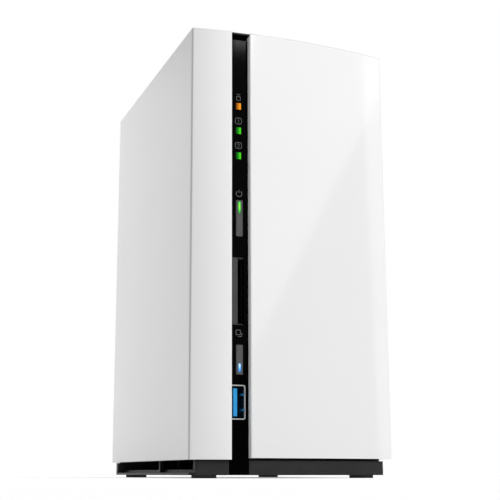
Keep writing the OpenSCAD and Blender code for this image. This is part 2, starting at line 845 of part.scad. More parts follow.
module drive_1_casting() { color("gray") drive_casting(drive_1_u); }
module drive_1_lid() { color("silver") drive_lid(drive_1_u); }
module drive_1_board() { color("green") drive_board(drive_1_u); }
module drive_1_connector() { color("black") drive_connector(drive_1_u); }
module drive_2_casting() { color("gray") drive_casting(drive_2_u); }
module drive_2_lid() { color("silver") drive_lid(drive_2_u); }
module drive_2_board() { color("green") drive_board(drive_2_u); }
module drive_2_connector() { color("black") drive_connector(drive_2_u); }

module drive_lid_screws() {
    color("dimgray") for (u0 = [drive_1_u, drive_2_u], p = lid_holes) {
        rod_u([u0 + drive_t - 4, u0 + drive_t], drive_v + p[0], drive_z + p[1], 0.9, 32);
        difference() {
            rod_u([u0 + drive_t, u0 + drive_t + 0.6], drive_v + p[0], drive_z + p[1], 1.9, 32);
            rod_u([u0 + drive_t + 0.2, u0 + drive_t + 1], drive_v + p[0], drive_z + p[1], 0.8, 6);
        }
    }
}

module drive_screws() {
    color("silver") for (u0 = [drive_1_u, drive_2_u], h = drive_hole_z) {
        rod_v(u0 + drive_hole_u, [drive_v + drive_w - 4, cage_back], drive_z + h, 1.4, 32);
        rod_v(u0 + drive_hole_u, [cage_back, cage_back + 0.8], drive_z + h, 2.8, 32);
        rod_v(u0 + drive_hole_u, [cage_v, drive_v + 4], drive_z + h, 1.4, 32);
        rod_v(u0 + drive_hole_u, [cage_v - 0.8, cage_v], drive_z + h, 2.8, 32);
    }
}

// ---------- boards ----------

module backplane_board() {
    color("darkgreen") difference() {
        block([board_back + 1.4, 78.8], [20, 100], [backplane_z, backplane_z + board_t]);
        for (p = backplane_posts) rod_z(p[0], p[1], [backplane_z - 1, backplane_z + 3], 1.5, 32);
        for (i = [0:3]) block([46, 50], [32 + i * 16, 42 + i * 16], [backplane_z - 1, backplane_z + 3]);
            }
}

module sata_sockets() {
    z = backplane_z + board_t;
    color("black") for (u0 = [drive_1_u, drive_2_u]) difference() {
        union() {
            block([u0 + 1.6, u0 + 9.4], [socket_v + 1, socket_v + plug_notch_l - 1], [z, drive_z - 0.5]);
            block([u0 + 3, u0 + 8.2], [socket_v + 4.6, socket_v + plug_notch_l - 4.6],
                  [z, drive_z + 5.2]);
        }
        // slot for the drive's tongue
        block([u0 + 4.9, u0 + 6.3], [socket_v + 5.8, socket_v + plug_notch_l - 5.8],
              [drive_z + 0.8, drive_z + 8]);
    }
}

// Right-angle connector pair between the main board and the backplane
module link_socket() {
    z = backplane_z + board_t;
    color("ivory") {
        block([board_back, board_back + 1.3], [52, 76], [z + 0.4, z + 6]);
        block([board_back + 1.3, board_back + 3.4], [52, 76], [z, z + 6]);
    }
}

module main_board() {
    color("darkgreen") difference() {
        block([board_u, board_back], board_v, board_z);
        for (p = board_holes) rod_u([board_u - 1, board_back + 1], p[0], p[1], 1.6, 48);
        // notch that the fan's lead passes through
        block([board_u - 1, board_back + 1], [113.4, 130], [93, 99.4]);
    }
}

module main_board_screws() {
    color("silver") for (p = board_holes) {
        rod_u([board_u - 1.3, board_u], p[0], p[1], 2.6, 32);
        rod_u([board_u, board_back + 1.9], p[0], p[1], 1.2, 32);
    }
}

module processor() {
    color("black") {
        block([board_u - 1.3, board_u], [62, 79], [104, 121]);
        block([board_u - 2, board_u - 1.3], [65, 76], [107, 118]);
    }
}

module heat_sink() {
    z = [95, 130];
    v = [53, 88];
    u = board_u - 2;
    color("darkgray") {
        block([u - 2, u], v, z);
        for (i = [0:8]) block([u - 9, u - 2], [v[0] + i * 4.2, v[0] + i * 4.2 + 1.2], z);
    }
}

module memory_chips() {
    color("black") {
        for (i = [0:1], j = [0:1])
            block([board_u - 1.1, board_u], [42 + i * 50, 50.5 + i * 50], [96 + j * 16, 108 + j * 16]);
        // flash memory, network and controller chips
        block([board_u - 1.2, board_u], [64, 76], [68, 76]);
        block([board_u - 1.1, board_u], [86, 94], [66, 74]);
        block([board_u - 1.1, board_u], [50, 60], [44, 54]);
        block([board_u - 2.2, board_u], [84, 98], [50, 62]);
    }
}

module power_inductors() {
    color("dimgray") for (p = [[86, 24], [74, 24], [62, 34], [100, 136]])
        soft_u([board_u - 4, board_u], [p[0] - 4, p[0] + 4], [p[1] - 4, p[1] + 4], 1.2);
}

// Box with rounded edges along the width
module soft_u(u, v, z, r) {
    block(u, [v[0] + r, v[1] - r], z);
    block(u, v, [z[0] + r, z[1] - r]);
    for (a = [v[0] + r, v[1] - r], b = [z[0] + r, z[1] - r]) rod_u(u, a, b, r, 32);
}

module capacitors() {
    color("silver") for (p = [[97, 24], [97, 42], [52, 26], [42, 26], [60, 142], [72, 142]])
        rod_u([board_u - 7.5, board_u], p[0], p[1], 3.2, 48);
}

module clock_cell() {
    color("silver") rod_u([board_u - 4.6, board_u - 1.4], 34, 146, 10);
}

module clock_cell_holder() {
    color("black") difference() {
        rod_u([board_u - 4, board_u], 34, 146, 11.4);
        rod_u([board_u - 5, board_u - 1.4], 34, 146, 10.15);
        block([board_u - 5, board_u - 1.4], [20, 48], [150, 160]);
    }
}

module buzzer() {
    color("black") difference() {
        rod_u([board_u - 7, board_u], 88, 146, 6);
        rod_u([board_u - 8, board_u - 5.5], 88, 146, 1.1, 32);
    }
}

// ---------- rear ports ----------

module lan_jack_shell() {
    u = [port_u - lan_h, port_u];
    z = [lan_z - lan_w / 2, lan_z + lan_w / 2];
    v = [rear_out_v + 0.2 - lan_l, rear_out_v + 0.2];
    color("silver") difference() {
        block(u, v, z);
        block([u[0] + 0.3, u[1] - 0.3], [v[0] + 0.3, v[1] + 1], [z[0] + 0.3, z[1] - 0.3]);
    }
}

module lan_jack_insert() {
    u = [port_u - lan_h + 0.4, port_u - 0.4];
    z = [lan_z - lan_w / 2 + 0.4, lan_z + lan_w / 2 - 0.4];
    v = [rear_out_v - lan_l + 0.6, rear_out_v - 0.2];
    color("black") difference() {
        block(u, v, z);
        // plug space, with the notch for the plug's latch towards the board
        block([u[0] + 1.4, u[0] + 9.2], [v[1] - 13.6, v[1] + 1], [lan_z - 5.95, lan_z + 5.95]);
        block([u[0] + 9.1, u[0] + 10.8], [v[1] - 13.6, v[1] + 1], [lan_z - 3.1, lan_z + 3.1]);
        block([u[0] + 10.7, u[0] + 11.9], [v[1] - 8, v[1] + 1], [lan_z - 1.7, lan_z + 1.7]);
    }
}

module rear_usb_shell() {
    u = [port_u - rusb_h, port_u];
    z = [rear_usb_z - rusb_w / 2, rear_usb_z + rusb_w / 2];
    v = [rear_out_v + 0.4 - rusb_l, rear_out_v + 0.4];
    color("silver") difference() {
        block(u, v, z);
        for (m = usb_openings) block([m - 2.7, m + 2.7], [v[0] + 1, v[1] + 1], [z[0] + 0.4, z[1] - 0.4]);
    }
}

module rear_usb_tongues() {
    color("black") for (m = usb_openings) {
        block([m + 0.1, m + 2], [rear_out_v - 12, rear_out_v - 1.2], [rear_usb_z - 5.6, rear_usb_z + 5.6]);
        block([m - 2.6, m + 2.6], [rear_out_v - 15.4, rear_out_v - 12], [rear_usb_z - 6.1, rear_usb_z + 6.1]);
    }
}

module dc_jack() {
    v = [rear_out_v + 0.2 - dc_l, rear_out_v + 0.2];
    color("black") difference() {
        union() {
            block([port_u - dc_h, port_u], [v[0], rear_in_v - 0.3], [dc_z - dc_w / 2, dc_z + dc_w / 2]);
            rod_v(dc_axis_u, [rear_in_v - 1, v[1]], dc_z, 4.1);
        }
        rod_v(dc_axis_u, [v[0] + 3.5, v[1] + 1], dc_z, 3.2);
        rod_v(dc_axis_u, [v[0] - 1, v[1]], dc_z, 1.25, 48);
    }
}

module dc_jack_pin() {
    color("gold") rod_v(dc_axis_u, [rear_out_v - dc_l, rear_out_v - 1], dc_z, 1.2, 48);
}

// ---------- nodes ----------

left_cover();
right_cover();
front_panel();
front_strip();
network_light();
disk_lights();
power_button();
power_button_light();
power_switch_cap();
copy_button();
copy_button_light();
copy_switch_cap();
card_slot_frame();
card_reader_shell();
card_reader_base();
front_usb_shell();
front_usb_tongue();
base_tray();
rubber_feet();
rear_panel();
cover_screws();
rear_panel_screws();
fan_frame();
fan_impeller();
fan_stator();
fan_screws();
fan_lead();
fan_plug();
drive_cage();
cage_screws();
drive_1_casting();
drive_1_lid();
drive_1_board();
drive_1_connector();
drive_2_casting();
drive_2_lid();
drive_2_board();
drive_2_connector();
drive_lid_screws();
drive_screws();
backplane_board();
sata_sockets();
link_socket();
main_board();
main_board_screws();
processor();
heat_sink();
memory_chips();
power_inductors();
capacitors();
clock_cell();
clock_cell_holder();
buzzer();
switch_bodies();
lan_jack_shell();
lan_jack_insert();
rear_usb_shell();
rear_usb_tongues();
dc_jack();
dc_jack_pin();
reset_button();
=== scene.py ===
import json
import math

import bmesh
import bpy
from mathutils import Matrix, Vector
from mathutils.bvhtree import BVHTree


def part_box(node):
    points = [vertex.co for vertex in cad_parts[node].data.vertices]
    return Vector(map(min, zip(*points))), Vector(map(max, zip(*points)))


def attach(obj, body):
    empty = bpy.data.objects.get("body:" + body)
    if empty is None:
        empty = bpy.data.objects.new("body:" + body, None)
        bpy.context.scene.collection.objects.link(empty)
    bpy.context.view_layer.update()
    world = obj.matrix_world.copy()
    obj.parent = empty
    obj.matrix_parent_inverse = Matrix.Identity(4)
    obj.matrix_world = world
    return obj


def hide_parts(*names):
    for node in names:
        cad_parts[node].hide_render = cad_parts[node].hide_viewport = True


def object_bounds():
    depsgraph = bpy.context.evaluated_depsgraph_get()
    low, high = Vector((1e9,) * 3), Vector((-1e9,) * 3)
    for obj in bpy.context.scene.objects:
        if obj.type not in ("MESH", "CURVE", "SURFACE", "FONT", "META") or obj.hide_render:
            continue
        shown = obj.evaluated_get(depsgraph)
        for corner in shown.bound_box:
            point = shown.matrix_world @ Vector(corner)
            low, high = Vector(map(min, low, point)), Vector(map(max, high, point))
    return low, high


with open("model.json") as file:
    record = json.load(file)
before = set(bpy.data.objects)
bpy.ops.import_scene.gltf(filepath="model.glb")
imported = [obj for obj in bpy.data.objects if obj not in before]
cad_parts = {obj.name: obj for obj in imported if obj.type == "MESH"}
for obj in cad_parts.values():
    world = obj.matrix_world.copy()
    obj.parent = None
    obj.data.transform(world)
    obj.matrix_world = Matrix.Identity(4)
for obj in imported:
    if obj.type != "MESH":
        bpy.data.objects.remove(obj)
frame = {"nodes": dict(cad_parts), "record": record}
cad_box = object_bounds()
nodes = frame["nodes"]
scene = bpy.context.scene

MM = 0.001
LOW, HIGH = cad_box
FROM_CASE = Matrix.Translation(LOW) @ Matrix.Scale(MM, 4)
TO_CASE = FROM_CASE.inverted()
SLOT_OF = {part["node"]: part["material_slot"] for part in frame["record"]["subparts"]}
BODY_OF = {n: body for body, names in frame["record"]["behaviour"]["bodies"].items() for n in names}

# Case coordinates are millimetres: u from the left face, v from the front apex, z from the floor.
CASE_W = (HIGH.x - LOW.x) / MM
CASE_H = (HIGH.z - LOW.z) / MM

SAME_POINT = 0.002          # vertices nearer than this, in mm, are one

# Angles between faces, in degrees
FLAT_ANGLE = 0.3            # faces that meet under less are one flat face
EDGE_ANGLE = 30             # edges that turn more can be rounded
SMOOTH_ANGLE = 38           # faces that meet under less are shaded as one


# ---------------------------------------------------------------- mesh helpers

def mesh_of(bm, name):
    mesh = bpy.data.meshes.new(name)
    bm.to_mesh(mesh)
    bm.free()
    return mesh


def new_object(name, mesh):
    obj = bpy.data.objects.new(name, mesh)
    scene.collection.objects.link(obj)
    return obj


def baked(obj):
    """A new mesh with the object's modifiers applied; the object is removed."""
    graph = bpy.context.evaluated_depsgraph_get()
    mesh = bpy.data.meshes.new_from_object(obj.evaluated_get(graph))
    old = obj.data
    bpy.data.objects.remove(obj)
    bpy.data.meshes.remove(old)
    return mesh


def cad_copy(cad_node):
    """A CAD node's mesh in case millimetres."""
    bm = bmesh.new()
    bm.from_mesh(nodes[cad_node].data)
    bmesh.ops.transform(bm, matrix=TO_CASE, verts=bm.verts)
    return bm


def turns_sharply(edge):
    return len(edge.link_faces) == 2 and edge.calc_face_angle(0.0) > math.radians(EDGE_ANGLE)


def rounded_copy(name, cad_node, radius_at, segments=4, mat=None, smooth=SMOOTH_ANGLE):
    """Replaces a CAD node by its copy with edges rounded by radius_at(middle of the edge)."""
    bm = cad_copy(cad_node)
    bmesh.ops.remove_doubles(bm, verts=bm.verts, dist=SAME_POINT)
    bmesh.ops.dissolve_limit(bm, angle_limit=math.radians(FLAT_ANGLE), verts=bm.verts, edges=bm.edges)
    weight = bm.edges.layers.float.new("bevel_weight_edge")
    edges = [e for e in bm.edges if turns_sharply(e)]
    radii = {e: radius_at((e.verts[0].co + e.verts[1].co) / 2) for e in edges}
    most = max(radii.values())
    for e, r in radii.items():
        e[weight] = r / most
    obj = new_object(name, mesh_of(bm, name))
    mod = obj.modifiers.new("round", "BEVEL")
    mod.limit_method, mod.width, mod.segments = "WEIGHT", most, segments
    mod.use_clamp_overlap = False
    placed(name, baked(obj), BODY_OF[cad_node], SLOT_OF[cad_node], [cad_node], mat, smooth)


def placed(name, mesh, body, slot, replaces=(), mat=None, smooth=SMOOTH_ANGLE):
    """Turns a mesh in case millimetres into a piece that rides on a body."""
    mesh.transform(FROM_CASE)
    mesh.name = name
    for p in mesh.polygons:
        p.use_smooth = True
    mesh.set_sharp_from_angle(angle=math.radians(smooth))
    obj = new_object(name, mesh)
    mod = obj.modifiers.new("even shading", "WEIGHTED_NORMAL")
    mod.keep_sharp = True
    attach(obj, body)
    if replaces:
        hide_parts(*replaces)
    mesh.materials.append(mat or SLOT_MATERIALS[slot])


def surface_v(cad_node, u, z):
    """How far behind the front apex a ray from the front meets a CAD node."""
    bm = cad_copy(cad_node)
    tree = BVHTree.FromBMesh(bm)
    bm.free()
    before_case = -50
    hit = tree.ray_cast(Vector((u, before_case, z)), Vector((0, 1, 0)))[0]
    return hit.y


def ribbon(bm, points, width, closed, front, back):
    """A flat stroke along points (u, z); front and back give its two faces' v at a u."""
    n = len(points)
    rings = []
    for i, (u, z) in enumerate(points):
        before = points[i - 1] if closed or i else points[i]
        after = points[(i + 1) % n] if closed or i < n - 1 else points[i]
        along = Vector((after[0] - before[0], after[1] - before[1])).normalized()
        side = Vector((-along.y, along.x)) * width / 2
        ring = []
        for sign, face in ((1, front), (-1, front), (-1, back), (1, back)):
            a, b = u + side.x * sign, z + side.y * sign
            ring.append(bm.verts.new((a, face(a), b)))
        rings.append(ring)
    tube(bm, rings, closed)


def tube(bm, rings, closed=False):
    """Faces between neighbouring rings of four points; an open tube gets its two ends."""
    pairs = list(zip(rings, rings[1:]))
    if closed:
        pairs.append((rings[-1], rings[0]))
    for a, b in pairs:
        for j in range(4):
            k = (j + 1) % 4
            bm.faces.new((a[j], a[k], b[k], b[j]))
    if not closed:
        bm.faces.new(rings[0])
        bm.faces.new(rings[-1][::-1])


def arc(cu, cz, radius, start, end, count):
    """Points (u, z) along an arc, its angles in degrees anticlockwise from the right."""
    step = (end - start) / count
    turns = [math.radians(start + i * step) for i in range(count + 1)]
    return [(cu + radius * math.cos(t), cz + radius * math.sin(t)) for t in turns]


def rounded_square(cu, cz, size, radius):
    reach = size / 2 - radius
    points = []
    for i, (su, sz) in enumerate(((1, 1), (-1, 1), (-1, -1), (1, -1))):
        points += arc(cu + su * reach, cz + sz * reach, radius, 90 * i, 90 * i + 90, 5)
    return points


# ---------------------------------------------------------------- material nodes

NOISE_LOW, NOISE_HIGH = 0.3, 0.7        # most of a noise texture's values lie between
SHADE_TURN = (0.87, 0.96)               # cosines to the facing direction: where a shade starts and is full


def links_of(mat):
    return mat.node_tree.links


def shader_of(mat):
    return mat.node_tree.nodes["Principled BSDF"]


def node(mat, kind, **values):
    """A new shader node; values are its settings and its inputs' constants."""
    n = mat.node_tree.nodes.new("ShaderNode" + kind)
    for key, value in values.items():
        if hasattr(n, key) and key not in n.inputs:
            setattr(n, key, value)
        else:
            n.inputs[key].default_value = value
    return n


def coordinate(mat, axis):
    """The place along an axis of the shared frame, in metres."""
    coords = node(mat, "TexCoord")
    split = node(mat, "SeparateXYZ")
    links_of(mat).new(coords.outputs["Object"], split.inputs["Vector"])
    return split.outputs[axis]


def ranged(mat, value, start, end, low=0.0, high=1.0):
    """low where the value is start, high where it is end, and even in between."""
    part = node(mat, "MapRange")
    for key, amount in (("From Min", start), ("From Max", end), ("To Min", low), ("To Max", high)):
        part.inputs[key].default_value = amount
    links_of(mat).new(value, part.inputs["Value"])
    return part.outputs["Result"]


def scaled(mat, colour, amount):
    scale = node(mat, "VectorMath", operation="SCALE")
    links_of(mat).new(colour, scale.inputs[0])
    links_of(mat).new(amount, scale.inputs["Scale"])
    return scale.outputs["Vector"]


def ramp(mat, value, stops):
    """A colour that follows the value; stops are (position, colour), from low to high."""
    n = node(mat, "ValToRGB")
    elements = n.color_ramp.elements
    elements[0].position = stops[0][0]
    elements[1].position = stops[-1][0]
    for position, _ in stops[1:-1]:
        elements.new(position)
    for element, (_, colour) in zip(elements, stops):
        element.color = (*colour, 1)
    links_of(mat).new(value, n.inputs["Fac"])
    return n.outputs["Color"]


def shine(mat, colour, strength):
    shader = shader_of(mat)
    links_of(mat).new(colour, shader.inputs["Emission Color"])
    shader.inputs["Emission Strength"].default_value = strength


def surface(name, dark, light, rough=(0.35, 0.45), patch=60.0, grain=2500.0, bump=0.02, depth=0.0001,
            stretch=(1, 1, 1), painted_shade=None, **sockets):
    """Colour, roughness and relief that vary over the surface, at two scales.

    sockets are constants on the shader's own sockets. The optional (start, end, least) paints shade into the
    colour:
    it is least times as bright at x = start and whole from x = end on.
    """
    mat = bpy.data.materials.new(name)
    mat.use_nodes = True
    shader = shader_of(mat)
    for key, value in sockets.items():
        shader.inputs[key.replace("_", " ")].default_value = value
    link = links_of(mat).new
    coords = node(mat, "TexCoord")
    stretched = node(mat, "Mapping", Scale=stretch)
    link(coords.outputs["Object"], stretched.inputs["Vector"])
    broad = node(mat, "TexNoise", Scale=patch, Detail=3.0, Roughness=0.55)
    fine = node(mat, "TexNoise", Scale=grain, Detail=2.0, Roughness=0.6)
    link(stretched.outputs["Vector"], broad.inputs["Vector"])
    link(stretched.outputs["Vector"], fine.inputs["Vector"])
    colour = ramp(mat, broad.outputs["Fac"], [(NOISE_LOW, dark), (NOISE_HIGH, light)])
    if painted_shade:
        start, end, least = painted_shade
        colour = scaled(mat, colour, ranged(mat, coordinate(mat, "X"), start, end, least, 1.0))
    link(colour, shader.inputs["Base Color"])
    link(ranged(mat, fine.outputs["Fac"], NOISE_LOW, NOISE_HIGH, *rough), shader.inputs["Roughness"])
    relief = node(mat, "Bump", Strength=bump, Distance=depth)
    link(fine.outputs["Fac"], relief.inputs["Height"])
    link(relief.outputs["Normal"], shader.inputs["Normal"])
    return mat


def blend_socket(mat, part, name, inside):
    """Turns one of the shader's sockets to the constant inside where part is 1."""
    link = links_of(mat).new
    socket = shader_of(mat).inputs[name]
    mix = node(mat, "Mix", data_type="RGBA" if socket.type == "RGBA" else "FLOAT")
    outside_end, inside_end = [i for i in mix.inputs if i.type == socket.type][-2:]
    if socket.is_linked:
        link(socket.links[0].from_socket, outside_end)
    else:
        outside_end.default_value = socket.default_value
    inside_end.default_value = inside
    link(part, mix.inputs["Factor"])
    link([o for o in mix.outputs if o.enabled][0], socket)


def paint_shade_inside(mat, planes, colour):
    """Paints shade into a material: a plain colour where all the planes are passed.

    A plane is (axis, edge, depth): the change runs along the axis from edge to edge + depth.
    """
    part = None
    for axis, edge, depth in planes:
        passed = ranged(mat, coordinate(mat, axis), edge, edge + depth)
        if part:
            both = node(mat, "Math", operation="MULTIPLY")
            links_of(mat).new(part, both.inputs[0])
            links_of(mat).new(passed, both.inputs[1])
            passed = both.outputs["Value"]
        part = passed
    blend_socket(mat, part, "Base Color", (*colour, 1))
    blend_socket(mat, part, "Metallic", 0.0)


def shade_edge(mat, facing, least):
    """Paints shade into a material's colour on the rounding that faces a direction: least times as bright in
    its middle.
    """
    turn = node(mat, "VectorMath", operation="DOT_PRODUCT")
    geometry = node(mat, "NewGeometry")
    links_of(mat).new(geometry.outputs["Normal"], turn.inputs[0])
    turn.inputs[1].default_value = facing
    shade = ranged(mat, turn.outputs["Value"], *SHADE_TURN, 1.0, least)
    colour = shader_of(mat).inputs["Base Color"]
    links_of(mat).new(scaled(mat, colour.links[0].from_socket, shade), colour)


# ---------------------------------------------------------------- materials

GROOVE = (17.3, 25.2)                   # left and right side of the groove that holds the strip
LEFT_EDGE_FACING = (-0.763, -0.646, 0)  # halfway between the left side and the front beside it
PORT_MOUTH = 0.0048                     # how far behind the front apex a port's inside starts to be painted in shade
TRAY_WALLS = {"left": 0.0003, "right": 0.003, "back": 0.004}
TRAY_FRONT = 0.006                      # back of the tray's front wall, behind the front apex

WHITE = surface("white_satin", (0.83, 0.83, 0.825), (0.86, 0.86, 0.855), rough=(0.42, 0.5), patch=12,
                grain=3000, bump=0.05, depth=0.00005)
# the left cover's white with painted shade: darker towards the left edge of its front, and darker on the
# rounding between its side and front
WHITE_LEFT_SHADE_PAINTED = surface("white_satin_left_shade_painted", (0.875, 0.872, 0.87), (0.905, 0.902, 0.9), rough=(0.42, 0.5),
                     patch=12, grain=3000, bump=0.05, depth=0.00005,
                     painted_shade=(LOW.x, LOW.x + GROOVE[0] * MM, 0.8))
# painted shade on the rounding between the left side and the front
shade_edge(WHITE_LEFT_SHADE_PAINTED, LEFT_EDGE_FACING, 0.66)
WHITE_GLOSS = surface("white_gloss", (0.88, 0.88, 0.878), (0.895, 0.895, 0.892), rough=(0.08, 0.11),
                      patch=10, grain=900, bump=0.01, depth=0.00004, Coat_Weight=0.5, Coat_Roughness=0.03)
BLACK_GLOSS = surface("black_gloss", (0.0004, 0.0004, 0.0005), (0.0007, 0.0007, 0.0008),
                      rough=(0.055, 0.075), patch=30, grain=900, bump=0.01, depth=0.00003,
                      Specular_IOR_Level=0.02)
BASE_BLACK = surface("base_black", (0.012, 0.012, 0.013), (0.018, 0.018, 0.019), rough=(0.5, 0.62),
                     grain=2600, bump=0.15, depth=0.00006, Specular_IOR_Level=0.3)
tray_lo, tray_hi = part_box("base_tray")
# painted shade: inside the tray's walls the base plastic is painted near black
paint_shade_inside(BASE_BLACK, [("X", tray_lo.x + TRAY_WALLS["left"], 0.0005),
                           ("X", tray_hi.x - TRAY_WALLS["right"], -0.0005),
                           ("Y", LOW.y + TRAY_FRONT, 0.0004),
                           ("Y", tray_hi.y - TRAY_WALLS["back"], -0.0004)], (0.0008, 0.0008, 0.0008))
REAR_BLACK = surface("rear_black", (0.022, 0.022, 0.024), (0.03, 0.03, 0.032), rough=(0.5, 0.62),
                     grain=2000, bump=0.3, depth=0.00008)
BLACK_PLASTIC = surface("black_plastic", (0.014, 0.014, 0.015), (0.022, 0.022, 0.023), rough=(0.35, 0.5))
RUBBER = surface("foot_rubber", (0.01, 0.01, 0.01), (0.018, 0.018, 0.018), rough=(0.7, 0.85), bump=0.3)
STEEL = surface("bright_steel", (0.58, 0.58, 0.57), (0.68, 0.68, 0.66), rough=(0.2, 0.32), grain=1800,
                bump=0.05, Metallic=1.0)
SCREW_STEEL = surface("screw_steel", (0.5, 0.49, 0.47), (0.62, 0.61, 0.58), rough=(0.25, 0.4),
                      Metallic=1.0)
BLACK_SCREW = surface("black_screw", (0.02, 0.02, 0.02), (0.04, 0.04, 0.04), rough=(0.35, 0.5),
                      Metallic=0.6)
ZINC = surface("zinc_sheet", (0.5, 0.52, 0.53), (0.66, 0.68, 0.69), rough=(0.3, 0.48), patch=140,
               grain=700, bump=0.06, Metallic=1.0)
CAST = surface("cast_aluminium", (0.3, 0.31, 0.32), (0.4, 0.41, 0.42), rough=(0.45, 0.6), grain=1500,
               bump=0.3, Metallic=0.9)
LID = surface("lid_steel", (0.6, 0.61, 0.62), (0.68, 0.69, 0.7), rough=(0.22, 0.34), stretch=(1, 1, 0.04),
              grain=4000, bump=0.05, Metallic=1.0)
BOARD = surface("circuit_board", (0.004, 0.055, 0.02), (0.008, 0.09, 0.03), rough=(0.25, 0.4), patch=300,
                grain=1600, bump=0.15)
CHIP = surface("chip_package", (0.012, 0.012, 0.013), (0.022, 0.022, 0.022), rough=(0.5, 0.65), bump=0.2)
ANODISED = surface("anodised", (0.2, 0.21, 0.23), (0.28, 0.29, 0.31), rough=(0.35, 0.5), Metallic=0.9)
FERRITE = surface("ferrite", (0.04, 0.04, 0.045), (0.07, 0.07, 0.075), rough=(0.55, 0.7), bump=0.3)
CAN = surface("capacitor_can", (0.6, 0.6, 0.6), (0.72, 0.72, 0.72), rough=(0.25, 0.35), Metallic=1.0)
BRASS = surface("plated_brass", (0.6, 0.45, 0.2), (0.75, 0.58, 0.28), rough=(0.2, 0.32), Metallic=1.0)
IVORY = surface("ivory_plastic", (0.6, 0.56, 0.44), (0.7, 0.66, 0.54), rough=(0.4, 0.5))
COPPER = surface("stator_windings", (0.35, 0.13, 0.05), (0.5, 0.2, 0.08), rough=(0.3, 0.45), patch=900,
                 Metallic=0.8)
JACKET = surface("cable_jacket", (0.01, 0.01, 0.01), (0.018, 0.018, 0.018), rough=(0.4, 0.5))
USB_BLUE = surface("usb_blue", (0.004, 0.33, 0.8), (0.008, 0.42, 0.9), rough=(0.3, 0.4))
PORT_STEEL = surface("port_steel", (0.5, 0.5, 0.49), (0.6, 0.6, 0.58), rough=(0.25, 0.35), grain=1800,
                     bump=0.05, Metallic=1.0)
# painted shade: deeper than the mouth, the port's steel is painted near black
paint_shade_inside(PORT_STEEL, [("Y", LOW.y + PORT_MOUTH, 0.0008)], (0.004, 0.004, 0.005))
SLOT_GREY = surface("slot_grey", (0.03, 0.03, 0.032), (0.04, 0.04, 0.042), rough=(0.45, 0.55), bump=0.1)
MARK_INK = surface("mark_ink", (0.1, 0.1, 0.105), (0.13, 0.13, 0.135), rough=(0.5, 0.6))
BUTTON = surface("button_grey", (0.085, 0.082, 0.088), (0.095, 0.092, 0.098), rough=(0.42, 0.5),
                 Specular_IOR_Level=0.3)

SLOT_MATERIALS = {
    "white_shell": WHITE, "white_gloss": WHITE_GLOSS, "black_gloss": BLACK_GLOSS,
    "button_plastic": BUTTON, "ivory_plastic": IVORY, "bright_steel": STEEL,
    "black_plastic": BLACK_PLASTIC, "blue_plastic": USB_BLUE, "base_plastic": BASE_BLACK,
    "foot_rubber": RUBBER, "rear_plastic": REAR_BLACK, "screw_steel": SCREW_STEEL,
    "black_screw": BLACK_SCREW, "fan_plastic": BLACK_PLASTIC, "stator": COPPER, "cable_jacket": JACKET,
    "zinc_steel": ZINC, "cast_aluminium": CAST, "lid_steel": LID, "drive_board": BOARD,
    "circuit_board": BOARD, "chip_package": CHIP, "anodised_aluminium": ANODISED, "ferrite": FERRITE,
    "capacitor_can": CAN, "brass": BRASS,
}


# ---------------------------------------------------------------- outer shells

BOW_SAGITTA = 3.75          # how far the front bows out in its middle
SIDE_RADIUS = 0.9           # outer edges between the sides, the top and the front
LIP_RADIUS = 0.45           # front edges along the groove
PANEL_RADIUS = 0.7          # the front panel's top and right edge
TRIM_RADIUS = 0.25          # the left cover's other front edges and its lower edge
LOWER_EDGE_TOP = 8          # the covers' lower edges lie below this height
CAP_RADIUS = 0.18           # front edges of the cap over the strip
CAP_BELOW_TOP = 1.5         # the cap's edges lie this near to the top
CAP_BEHIND_APEX = 2.5       # and to the front apex


def near(a, b, tol=0.35):
    return abs(a - b) < tol


def front_v(u):
    """The covers' bowed front face."""
    reach = CASE_W / 2
    radius = (reach ** 2 + BOW_SAGITTA ** 2) / (2 * BOW_SAGITTA)
    return radius - math.sqrt(radius ** 2 - (u - reach) ** 2)


def on_front(mid):
    return near(mid.y, front_v(mid.x), 0.15)


def left_cover_radius(mid):
    at_left = near(mid.x, 0)
    planes = [at_left, on_front(mid), near(mid.z, CASE_H)]
    if sum(planes) >= 2:
        return SIDE_RADIUS
    if on_front(mid) and near(mid.x, GROOVE[0]):
        return LIP_RADIUS
    if on_front(mid) or (at_left and mid.z < LOWER_EDGE_TOP):
        return TRIM_RADIUS
    return 0.0


def right_cover_radius(mid):
    return SIDE_RADIUS if near(mid.x, CASE_W) and near(mid.z, CASE_H) else 0.0


def panel_radius(mid):
    if not on_front(mid):
        return 0.0
    return PANEL_RADIUS if near(mid.x, CASE_W) or near(mid.z, CASE_H) else LIP_RADIUS


def strip_radius(mid):
    return CAP_RADIUS if mid.z > CASE_H - CAP_BELOW_TOP and mid.y < CAP_BEHIND_APEX else 0.0


rounded_copy("left_cover_shell", "left_cover", left_cover_radius, mat=WHITE_LEFT_SHADE_PAINTED)
rounded_copy("right_cover_shell", "right_cover", right_cover_radius)
rounded_copy("front_panel_gloss", "front_panel", panel_radius)
rounded_copy("front_strip_gloss", "front_strip", strip_radius, segments=2, smooth=4)


# ---------------------------------------------------------------- marks on the strip

MARK_MID = 21.2             # the marks and the lights under them are centred here
MARK_PROUD = 0.035
NETWORK_Z = 159.1
DISK_Z = (148.5, 137.6)
POWER_Z = 116.6
COPY_Z = 57.7
CLEAR_Z = 125               # a height at which nothing is cut into the strip

STRIP_DEPTH = surface_v("front_strip", MARK_MID, CLEAR_Z) - front_v(MARK_MID)


def mark_face(u):
    return STRIP_DEPTH + front_v(u) - MARK_PROUD


def mark_back(u):
    return STRIP_DEPTH + front_v(u) + MARK_PROUD


def figure_one(z):
    return [(MARK_MID - 0.35, z + 0.45), (MARK_MID + 0.05, z + 0.75), (MARK_MID + 0.05, z - 0.75)]


def figure_two(z):
    hook = arc(MARK_MID, z + 0.35, 0.4, 170, -30, 8)
    return hook + [(MARK_MID - 0.42, z - 0.72), (MARK_MID + 0.45, z - 0.72)]


